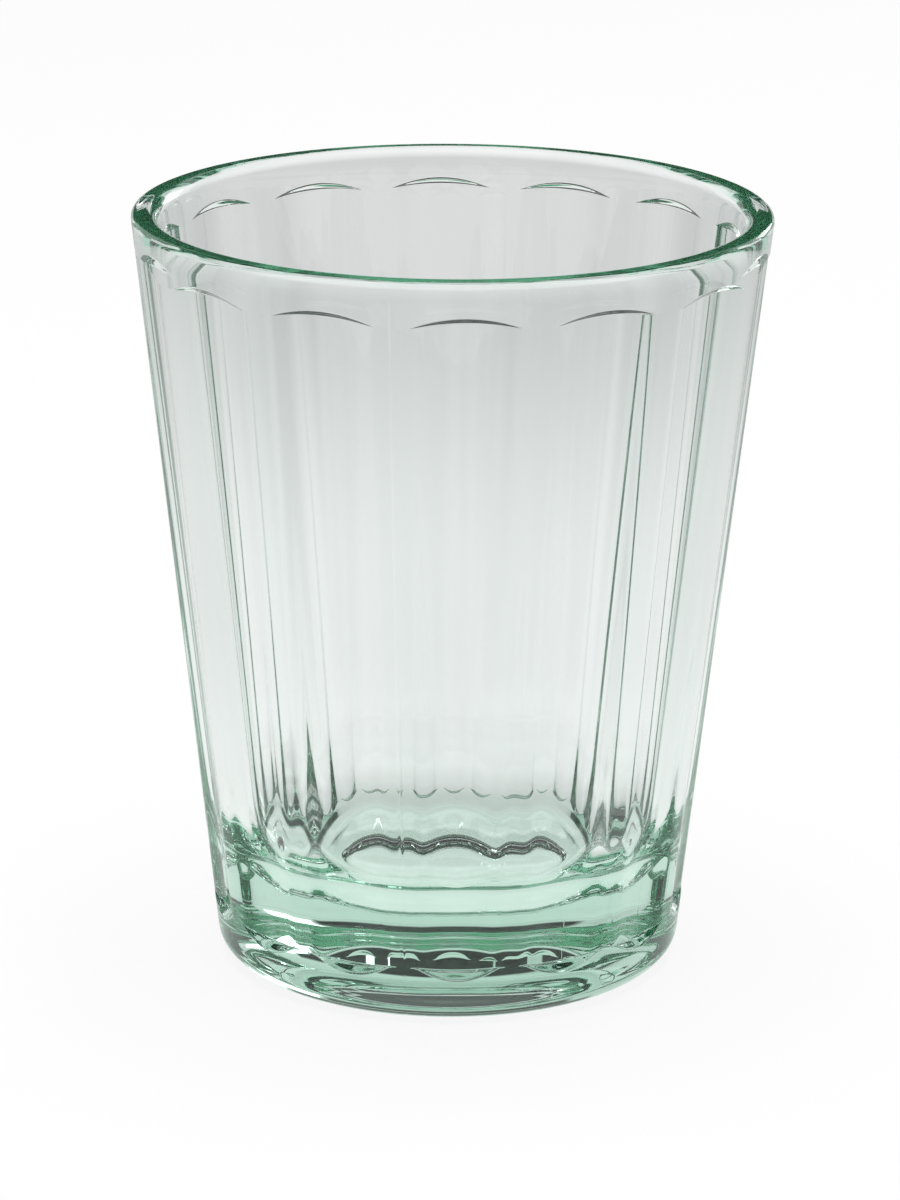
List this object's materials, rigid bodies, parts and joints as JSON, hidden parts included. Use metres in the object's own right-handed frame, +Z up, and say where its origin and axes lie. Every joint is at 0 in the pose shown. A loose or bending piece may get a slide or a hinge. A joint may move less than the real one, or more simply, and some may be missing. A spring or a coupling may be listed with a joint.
{
  "type": "double old fashioned glass",
  "caption": "Straight tapered tumbler of pale green pressed glass with hollow flutes, arched under a plain rounded rim, and a heavy solid base, for a drink over ice.",
  "frame": {"origin": "on the glass's axis, in the plane of the ring that it stands on", "axes": "+Z up along the glass's axis, -Y towards the front as pictured, +X to the right"},
  "size_m": [0.0888, 0.0888, 0.108],
  "materials": {
    "pressed_glass": "clear fire-polished soda-lime glass with a pale sea-green tint that deepens where the glass is thick"
  },
  "bodies": {
    "root": {"heavy_base": "pressed_glass", "fluted_wall": "pressed_glass", "rim_band": "pressed_glass"}
  },
  "joints": []
}
